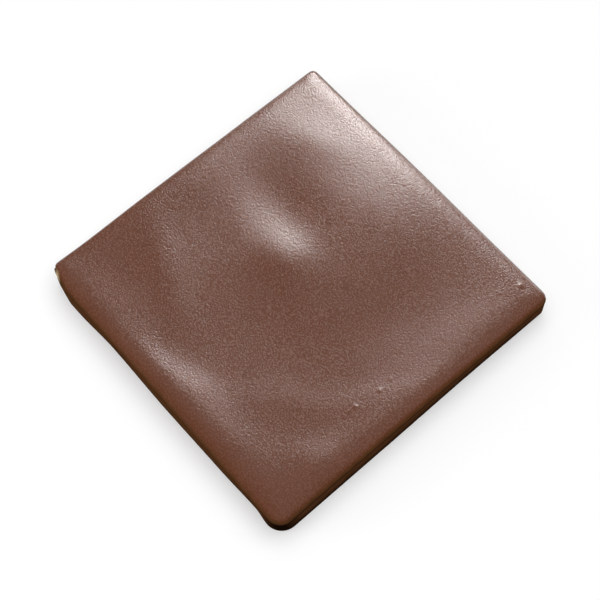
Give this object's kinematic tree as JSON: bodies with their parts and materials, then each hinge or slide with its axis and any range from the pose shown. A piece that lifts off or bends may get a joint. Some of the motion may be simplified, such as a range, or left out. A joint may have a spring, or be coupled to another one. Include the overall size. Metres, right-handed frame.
{
  "type": "ceramic tile",
  "caption": "Square hand-pressed wall tile of fired clay with a gently waving satin brown glazed face, rolled lip and flat bonding back.",
  "frame": {"origin": "centre of the flat bonding back, on the level that the tile lies on", "axes": "+Z out of the glazed face, X and Y along the edges; the front side is -Y and the right side +X"},
  "size_m": [0.1, 0.1, 0.0131],
  "materials": {
    "brown_glaze": "satin"
  },
  "bodies": {
    "root": {"glazed_tile": "brown_glaze"}
  },
  "joints": []
}
